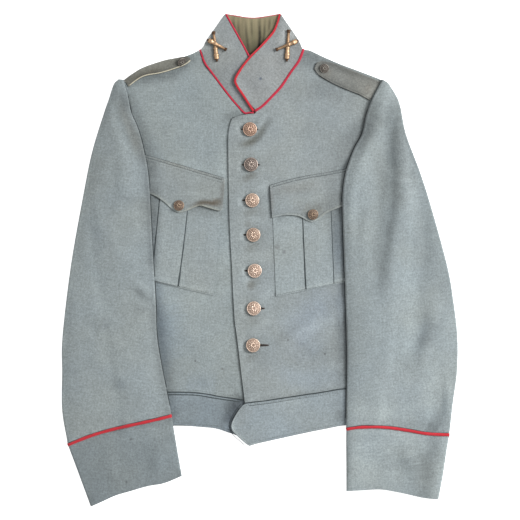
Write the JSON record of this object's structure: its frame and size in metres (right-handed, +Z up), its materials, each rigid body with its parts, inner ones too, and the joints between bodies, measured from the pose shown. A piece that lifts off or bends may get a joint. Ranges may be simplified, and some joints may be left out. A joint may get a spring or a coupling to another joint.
{
  "type": "military uniform jacket",
  "caption": "Waist-length wool dress jacket with stand collar, shoulder straps, chest pockets, piped cuffs and a tabbed waistband, laid flat and buttoned, front up.",
  "frame": {"origin": "centre of the base: the middle of the outline, on the surface that the jacket lies on", "axes": "+X to the wearer's left, +Y towards the collar, +Z up from the surface, out of the front"},
  "size_m": [0.6133, 0.7649, 0.0182],
  "materials": {
    "wool": "matt heathered wool twill",
    "trim_wool": "matt wool, slightly browner",
    "piping": "matt felted wool",
    "lining": "creased khaki cotton",
    "copper": "dull copper gilt",
    "brass": "tarnished brass"
  },
  "bodies": {
    "root": {"back": "wool", "right_front": "wool", "left_front": "wool", "waistband_back": "wool", "waistband_right": "wool", "waistband_left": "wool", "collar_back": "wool", "collar_right": "wool", "collar_left": "wool", "collar_lining": "lining", "collar_right_piping": "piping", "collar_left_piping": "piping", "right_neck_piping": "piping", "left_neck_piping": "piping", "right_pocket": "wool", "left_pocket": "wool", "right_pocket_flap": "trim_wool", "left_pocket_flap": "trim_wool", "right_shoulder_strap": "trim_wool", "left_shoulder_strap": "trim_wool", "right_under_sleeve": "wool", "right_under_cuff": "wool", "right_under_cuff_piping": "piping", "right_top_sleeve": "wool", "right_top_cuff": "wool", "right_top_cuff_piping": "piping", "left_under_sleeve": "wool", "left_under_cuff": "wool", "left_under_cuff_piping": "piping", "left_top_sleeve": "wool", "left_top_cuff": "wool", "left_top_cuff_piping": "piping", "front_button_1": "copper", "front_button_2": "copper", "front_button_3": "copper", "front_button_4": "copper", "front_button_5": "copper", "front_button_6": "copper", "front_button_7": "copper", "right_pocket_button": "copper", "left_pocket_button": "copper", "right_strap_button": "copper", "left_strap_button": "copper", "right_badge": "brass", "left_badge": "brass"}
  },
  "joints": []
}
